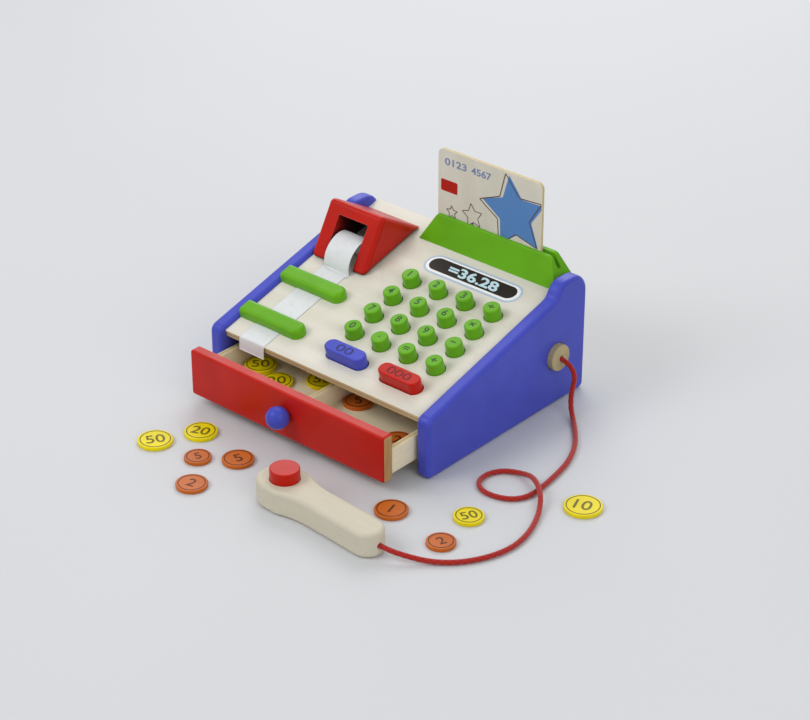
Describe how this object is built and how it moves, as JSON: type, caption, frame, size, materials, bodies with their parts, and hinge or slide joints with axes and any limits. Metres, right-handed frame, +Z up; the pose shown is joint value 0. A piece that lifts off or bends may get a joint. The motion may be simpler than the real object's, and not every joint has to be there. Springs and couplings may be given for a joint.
{
  "type": "toy cash register",
  "caption": "Wooden toy cash register with a sliding coin drawer, sprung round keys, a paper roll, a play card in a swipe rail and a hand scanner on a cord.",
  "frame": {"origin": "middle of the side panels' footprint, on the underside of the base panel", "axes": "+X to the right seen from the drawer's side, +Y to the back, +Z up"},
  "size_m": [0.3391, 0.3097, 0.1643],
  "materials": {
    "blue_paint": "satin paint on solid wood",
    "red_paint": "satin paint on solid wood",
    "green_paint": "satin paint on solid wood",
    "bare_wood": "fine-grained pale plywood, sanded",
    "pale_wood": "fine-grained pale wood, sanded",
    "white_print": "printed film",
    "paper": "matte paper",
    "core_card": "matte card tube",
    "red_cord": "woven round cord",
    "yellow_paint": "satin paint on wood",
    "copper_paint": "satin paint on wood",
    "spring_steel": "drawn wire"
  },
  "bodies": {
    "cabinet": {"left_side_panel": "blue_paint", "right_side_panel": "blue_paint", "keyboard_deck": "bare_wood", "back_panel": "bare_wood", "base_panel": "bare_wood", "key_tray": "bare_wood", "tray_rails": "bare_wood", "key_springs": "spring_steel", "receipt_housing": "red_paint", "roll_axle": "bare_wood", "upper_paper_bar": "green_paint", "lower_paper_bar": "green_paint", "card_rail": "green_paint", "display_plate": "white_print", "panel_dowels": "bare_wood", "drawer_runners": "bare_wood", "drawer_stop": "bare_wood", "cord_plug": "bare_wood", "cord_knot": "red_cord", "scanner_cord": "red_cord", "paper_strip": "paper"},
    "drawer": {"drawer_front": "red_paint", "drawer_left_side": "bare_wood", "drawer_right_side": "bare_wood", "drawer_back": "bare_wood", "drawer_floor": "bare_wood", "drawer_divider": "bare_wood", "drawer_knob": "blue_paint", "knob_peg": "bare_wood", "drawer_yellow_coins": "yellow_paint", "drawer_copper_coins": "copper_paint"},
    "key_one": {"key_one": "green_paint"},
    "key_two": {"key_two": "green_paint"},
    "key_three": {"key_three": "green_paint"},
    "key_divide": {"key_divide": "green_paint"},
    "key_four": {"key_four": "green_paint"},
    "key_five": {"key_five": "green_paint"},
    "key_six": {"key_six": "green_paint"},
    "key_times": {"key_times": "green_paint"},
    "key_seven": {"key_seven": "green_paint"},
    "key_eight": {"key_eight": "green_paint"},
    "key_nine": {"key_nine": "green_paint"},
    "key_minus": {"key_minus": "green_paint"},
    "key_zero": {"key_zero": "green_paint"},
    "key_point": {"key_point": "green_paint"},
    "key_equals": {"key_equals": "green_paint"},
    "key_plus": {"key_plus": "green_paint"},
    "blue_long_key": {"blue_long_key": "blue_paint"},
    "red_long_key": {"red_long_key": "red_paint"},
    "roll": {"paper_roll": "paper", "paper_core": "core_card"},
    "card": {"play_card": "pale_wood"},
    "scanner": {"scanner_body": "pale_wood", "scanner_cover": "bare_wood", "button_spring": "spring_steel"},
    "scanner_button": {"scanner_button": "red_paint"},
    "loose_coins": {"table_yellow_coins": "yellow_paint", "table_copper_coins": "copper_paint"}
  },
  "joints": [
    {"name": "drawer_slide", "type": "slide", "parent": "cabinet", "child": "drawer", "axis": [0, -1, 0], "range_m": [-0.029, 0.033]},
    {"name": "key_one_press", "type": "slide", "parent": "cabinet", "child": "key_one", "axis": [0, 0.2622, -0.965], "range_m": [0, 0.0028], "stiffness_N_per_m": 150, "springref_m": -0.002, "deforming": ["key_springs"]},
    {"name": "key_two_press", "type": "slide", "parent": "cabinet", "child": "key_two", "axis": [0, 0.2622, -0.965], "range_m": [0, 0.0028], "stiffness_N_per_m": 150, "springref_m": -0.002, "deforming": ["key_springs"]},
    {"name": "key_three_press", "type": "slide", "parent": "cabinet", "child": "key_three", "axis": [0, 0.2622, -0.965], "range_m": [0, 0.0028], "stiffness_N_per_m": 150, "springref_m": -0.002, "deforming": ["key_springs"]},
    {"name": "key_divide_press", "type": "slide", "parent": "cabinet", "child": "key_divide", "axis": [0, 0.2622, -0.965], "range_m": [0, 0.0028], "stiffness_N_per_m": 150, "springref_m": -0.002, "deforming": ["key_springs"]},
    {"name": "key_four_press", "type": "slide", "parent": "cabinet", "child": "key_four", "axis": [0, 0.2622, -0.965], "range_m": [0, 0.0028], "stiffness_N_per_m": 150, "springref_m": -0.002, "deforming": ["key_springs"]},
    {"name": "key_five_press", "type": "slide", "parent": "cabinet", "child": "key_five", "axis": [0, 0.2622, -0.965], "range_m": [0, 0.0028], "stiffness_N_per_m": 150, "springref_m": -0.002, "deforming": ["key_springs"]},
    {"name": "key_six_press", "type": "slide", "parent": "cabinet", "child": "key_six", "axis": [0, 0.2622, -0.965], "range_m": [0, 0.0028], "stiffness_N_per_m": 150, "springref_m": -0.002, "deforming": ["key_springs"]},
    {"name": "key_times_press", "type": "slide", "parent": "cabinet", "child": "key_times", "axis": [0, 0.2622, -0.965], "range_m": [0, 0.0028], "stiffness_N_per_m": 150, "springref_m": -0.002, "deforming": ["key_springs"]},
    {"name": "key_seven_press", "type": "slide", "parent": "cabinet", "child": "key_seven", "axis": [0, 0.2622, -0.965], "range_m": [0, 0.0028], "stiffness_N_per_m": 150, "springref_m": -0.002, "deforming": ["key_springs"]},
    {"name": "key_eight_press", "type": "slide", "parent": "cabinet", "child": "key_eight", "axis": [0, 0.2622, -0.965], "range_m": [0, 0.0028], "stiffness_N_per_m": 150, "springref_m": -0.002, "deforming": ["key_springs"]},
    {"name": "key_nine_press", "type": "slide", "parent": "cabinet", "child": "key_nine", "axis": [0, 0.2622, -0.965], "range_m": [0, 0.0028], "stiffness_N_per_m": 150, "springref_m": -0.002, "deforming": ["key_springs"]},
    {"name": "key_minus_press", "type": "slide", "parent": "cabinet", "child": "key_minus", "axis": [0, 0.2622, -0.965], "range_m": [0, 0.0028], "stiffness_N_per_m": 150, "springref_m": -0.002, "deforming": ["key_springs"]},
    {"name": "key_zero_press", "type": "slide", "parent": "cabinet", "child": "key_zero", "axis": [0, 0.2622, -0.965], "range_m": [0, 0.0028], "stiffness_N_per_m": 150, "springref_m": -0.002, "deforming": ["key_springs"]},
    {"name": "key_point_press", "type": "slide", "parent": "cabinet", "child": "key_point", "axis": [0, 0.2622, -0.965], "range_m": [0, 0.0028], "stiffness_N_per_m": 150, "springref_m": -0.002, "deforming": ["key_springs"]},
    {"name": "key_equals_press", "type": "slide", "parent": "cabinet", "child": "key_equals", "axis": [0, 0.2622, -0.965], "range_m": [0, 0.0028], "stiffness_N_per_m": 150, "springref_m": -0.002, "deforming": ["key_springs"]},
    {"name": "key_plus_press", "type": "slide", "parent": "cabinet", "child": "key_plus", "axis": [0, 0.2622, -0.965], "range_m": [0, 0.0028], "stiffness_N_per_m": 150, "springref_m": -0.002, "deforming": ["key_springs"]},
    {"name": "blue_long_key_press", "type": "slide", "parent": "cabinet", "child": "blue_long_key", "axis": [0, 0.2622, -0.965], "range_m": [0, 0.0028], "stiffness_N_per_m": 150, "springref_m": -0.002, "deforming": ["key_springs"]},
    {"name": "red_long_key_press", "type": "slide", "parent": "cabinet", "child": "red_long_key", "axis": [0, 0.2622, -0.965], "range_m": [0, 0.0028], "stiffness_N_per_m": 150, "springref_m": -0.002, "deforming": ["key_springs"]},
    {"name": "roll_spin", "type": "hinge", "parent": "cabinet", "child": "roll", "pos_m": [-0.069, 0.02908, 0.08567], "axis": [1, 0, 0], "continuous": true},
    {"name": "card_swipe", "type": "slide", "parent": "cabinet", "child": "card", "axis": [1, 0, 0], "range_m": [-0.045, 0.02]},
    {"name": "scanner_lift", "type": "slide", "parent": "cabinet", "child": "scanner", "axis": [0, 0, 1], "range_m": [0, 0.15], "deforming": ["scanner_cord"]},
    {"name": "scanner_button_press", "type": "slide", "parent": "scanner", "child": "scanner_button", "axis": [0, 0, -1], "range_m": [0, 0.003], "stiffness_N_per_m": 250, "springref_m": -0.002, "deforming": ["button_spring"]},
    {"name": "coins_lift", "type": "slide", "parent": "cabinet", "child": "loose_coins", "axis": [0, 0, 1], "range_m": [0, 0.1]}
  ]
}
